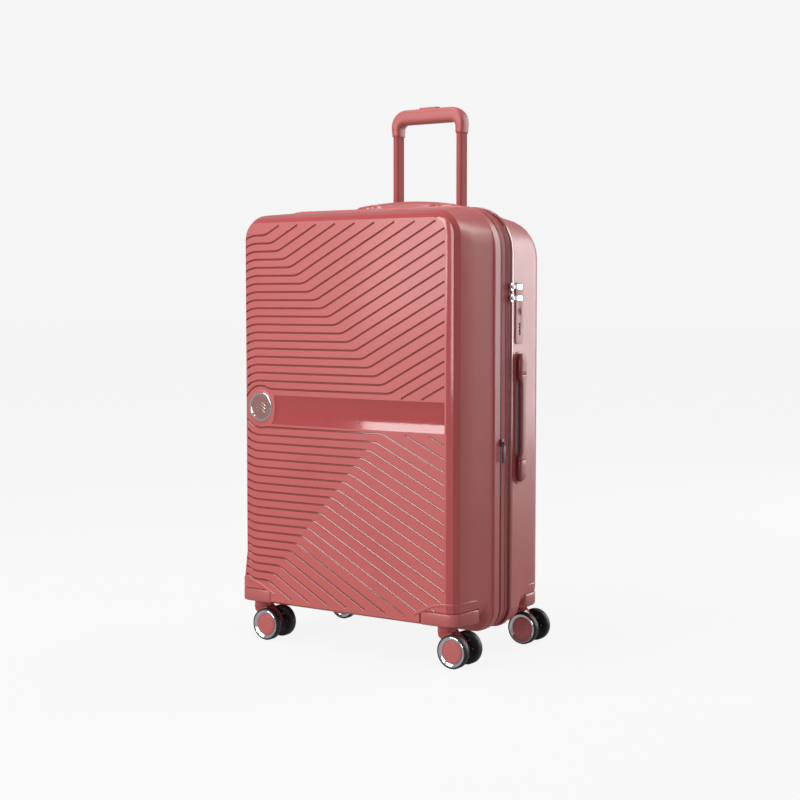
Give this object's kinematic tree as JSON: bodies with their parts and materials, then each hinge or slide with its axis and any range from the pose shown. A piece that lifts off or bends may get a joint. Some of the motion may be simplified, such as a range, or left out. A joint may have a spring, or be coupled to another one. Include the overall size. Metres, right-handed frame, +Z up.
{
  "type": "hard shell suitcase",
  "caption": "Large expandable hard shell suitcase with a zip hinge, two-stage trolley, pull-out carry handles, a dial lock and twin casters.",
  "frame": {"origin": "on the ground, below the middle of the shells and midway between the front and rear caster swivels", "axes": "+Z up, front panel faces -Y, the lock and the side handle are on the +X side"},
  "size_m": [0.4904, 0.2882, 0.9505],
  "materials": {
    "shell": "fine pebbled satin polypropylene",
    "gloss_trim": "polished polypropylene",
    "handle": "smooth dark rose plastic",
    "zip_tape": "woven zip tape",
    "band": "coated band",
    "gusset": "woven polyester",
    "lining": "printed polyester lining",
    "strap": "webbing",
    "rose_tube": "anodised",
    "plain_tube": "mill finish",
    "steel": "plated",
    "chrome": "polished",
    "dial": "satin",
    "dark_zip": "enamelled",
    "hub": "moulded",
    "tyre": "smooth rubber",
    "cap": "moulded"
  },
  "bodies": {
    "rear_half": {"rear_shell": "shell", "rear_zip_tape": "zip_tape", "rear_lining": "lining", "trolley_bezel": "gloss_trim", "trolley_outer_tubes": "plain_tube", "lock_plate": "gloss_trim", "side_handle_base": "gloss_trim", "top_handle_base": "gloss_trim", "rear_wheel_housings": "gloss_trim", "rear_screws": "steel", "packing_straps": "strap"},
    "key": {"key_cylinder": "chrome"},
    "dial_a": {"dial_1": "dial"},
    "dial_b": {"dial_2": "dial"},
    "dial_c": {"dial_3": "dial"},
    "upper_slider": {"zip_slider_upper": "chrome"},
    "upper_pull": {"zip_pull_upper": "chrome"},
    "lower_slider": {"zip_slider_lower": "chrome"},
    "lower_pull": {"zip_pull_lower": "chrome"},
    "lid_frame": {"expander_band": "band", "hinge_tape": "zip_tape", "expander_gusset": "gusset"},
    "expander_zip": {"expander_slider": "dark_zip"},
    "expander_tab": {"expander_pull": "dark_zip"},
    "front_half": {"front_shell": "shell", "front_zip_tape": "zip_tape", "front_lining": "lining", "front_wheel_housings": "gloss_trim", "front_screws": "steel", "badge": "chrome"},
    "trolley_middle": {"trolley_middle_tubes": "rose_tube"},
    "trolley_top": {"trolley_inner_tubes": "rose_tube", "trolley_grip": "shell"},
    "grip_button": {"trolley_button": "gloss_trim"},
    "side_grip": {"side_handle": "handle"},
    "top_grip": {"top_handle": "handle"},
    "front_left_caster": {"front_left_fork": "gloss_trim", "front_left_axle": "steel"},
    "front_left_wheels": {"front_left_hubs": "hub", "front_left_tyres": "tyre", "front_left_rings": "chrome", "front_left_caps": "cap"},
    "front_right_caster": {"front_right_fork": "gloss_trim", "front_right_axle": "steel"},
    "front_right_wheels": {"front_right_hubs": "hub", "front_right_tyres": "tyre", "front_right_rings": "chrome", "front_right_caps": "cap"},
    "rear_left_caster": {"rear_left_fork": "gloss_trim", "rear_left_axle": "steel"},
    "rear_left_wheels": {"rear_left_hubs": "hub", "rear_left_tyres": "tyre", "rear_left_rings": "chrome", "rear_left_caps": "cap"},
    "rear_right_caster": {"rear_right_fork": "gloss_trim", "rear_right_axle": "steel"},
    "rear_right_wheels": {"rear_right_hubs": "hub", "rear_right_tyres": "tyre", "rear_right_rings": "chrome", "rear_right_caps": "cap"}
  },
  "joints": [
    {"name": "key_turn", "type": "hinge", "parent": "rear_half", "child": "key", "pos_m": [0.23702, 0.042, 0.583], "axis": [0.9954, 0.0958, 0], "range_deg": [0, 90]},
    {"name": "dial_1_turn", "type": "hinge", "parent": "rear_half", "child": "dial_a", "pos_m": [0.22985, 0.04131, 0.5592], "axis": [0, 0, 1], "continuous": true},
    {"name": "dial_2_turn", "type": "hinge", "parent": "rear_half", "child": "dial_b", "pos_m": [0.22985, 0.04131, 0.553], "axis": [0, 0, 1], "continuous": true},
    {"name": "dial_3_turn", "type": "hinge", "parent": "rear_half", "child": "dial_c", "pos_m": [0.22985, 0.04131, 0.5468], "axis": [0, 0, 1], "continuous": true},
    {"name": "upper_slider_run", "type": "slide", "parent": "rear_half", "child": "upper_slider", "axis": [0, 0, 1], "range_m": [0, 0.05]},
    {"name": "upper_pull_lift", "type": "hinge", "parent": "upper_slider", "child": "upper_pull", "pos_m": [0.2461, 0.0076, 0.6245], "axis": [0, 0, -1], "range_deg": [0, 150]},
    {"name": "lower_slider_run", "type": "slide", "parent": "rear_half", "child": "lower_slider", "axis": [0, 0, 1], "range_m": [-0.08, 0]},
    {"name": "lower_pull_lift", "type": "hinge", "parent": "lower_slider", "child": "lower_pull", "pos_m": [0.2461, 0.0076, 0.6055], "axis": [0, 0, -1], "range_deg": [0, 150]},
    {"name": "lid_open", "type": "hinge", "parent": "rear_half", "child": "lid_frame", "pos_m": [-0.2408, 0.0076, 0.402], "axis": [0, 0, -1], "range_deg": [0, 170]},
    {"name": "expand", "type": "slide", "parent": "lid_frame", "child": "front_half", "axis": [0, -1, 0], "range_m": [0, 0.025]},
    {"name": "expander_slider_run", "type": "slide", "parent": "lid_frame", "child": "expander_zip", "axis": [0, 0, 1], "range_m": [-0.2, 0.3]},
    {"name": "expander_pull_lift", "type": "hinge", "parent": "expander_zip", "child": "expander_tab", "pos_m": [0.2461, -0.02, 0.364], "axis": [0, -1, 0], "range_deg": [0, 150]},
    {"name": "trolley_lower_stage", "type": "slide", "parent": "rear_half", "child": "trolley_middle", "axis": [0, 0, 1], "range_m": [0, 0.18]},
    {"name": "trolley_upper_stage", "type": "slide", "parent": "trolley_middle", "child": "trolley_top", "axis": [0, 0, 1], "range_m": [-0.18, 0]},
    {"name": "grip_button_press", "type": "slide", "parent": "trolley_top", "child": "grip_button", "axis": [0, 0, -1], "range_m": [0, 0.002], "stiffness_N_per_m": 600, "springref_m": -0.001},
    {"name": "side_handle_pull", "type": "slide", "parent": "rear_half", "child": "side_grip", "axis": [0.9954, 0.0958, 0], "range_m": [0, 0.01], "stiffness_N_per_m": 400, "springref_m": -0.004},
    {"name": "top_handle_pull", "type": "slide", "parent": "rear_half", "child": "top_grip", "axis": [0, 0.0958, 0.9954], "range_m": [0, 0.01], "stiffness_N_per_m": 400, "springref_m": -0.004},
    {"name": "front_left_swivel", "type": "hinge", "parent": "front_half", "child": "front_left_caster", "pos_m": [-0.196, -0.114, 0.067], "axis": [0, 0, 1], "continuous": true},
    {"name": "front_left_roll", "type": "hinge", "parent": "front_left_caster", "child": "front_left_wheels", "pos_m": [-0.1725, -0.114, 0.028], "axis": [0, 1, 0], "continuous": true},
    {"name": "front_right_swivel", "type": "hinge", "parent": "front_half", "child": "front_right_caster", "pos_m": [0.196, -0.114, 0.067], "axis": [0, 0, 1], "continuous": true},
    {"name": "front_right_roll", "type": "hinge", "parent": "front_right_caster", "child": "front_right_wheels", "pos_m": [0.2195, -0.114, 0.028], "axis": [0, 1, 0], "continuous": true},
    {"name": "rear_left_swivel", "type": "hinge", "parent": "rear_half", "child": "rear_left_caster", "pos_m": [-0.196, 0.114, 0.067], "axis": [0, 0, 1], "continuous": true},
    {"name": "rear_left_roll", "type": "hinge", "parent": "rear_left_caster", "child": "rear_left_wheels", "pos_m": [-0.1725, 0.114, 0.028], "axis": [0, 1, 0], "continuous": true},
    {"name": "rear_right_swivel", "type": "hinge", "parent": "rear_half", "child": "rear_right_caster", "pos_m": [0.196, 0.114, 0.067], "axis": [0, 0, 1], "continuous": true},
    {"name": "rear_right_roll", "type": "hinge", "parent": "rear_right_caster", "child": "rear_right_wheels", "pos_m": [0.2195, 0.114, 0.028], "axis": [0, 1, 0], "continuous": true}
  ]
}
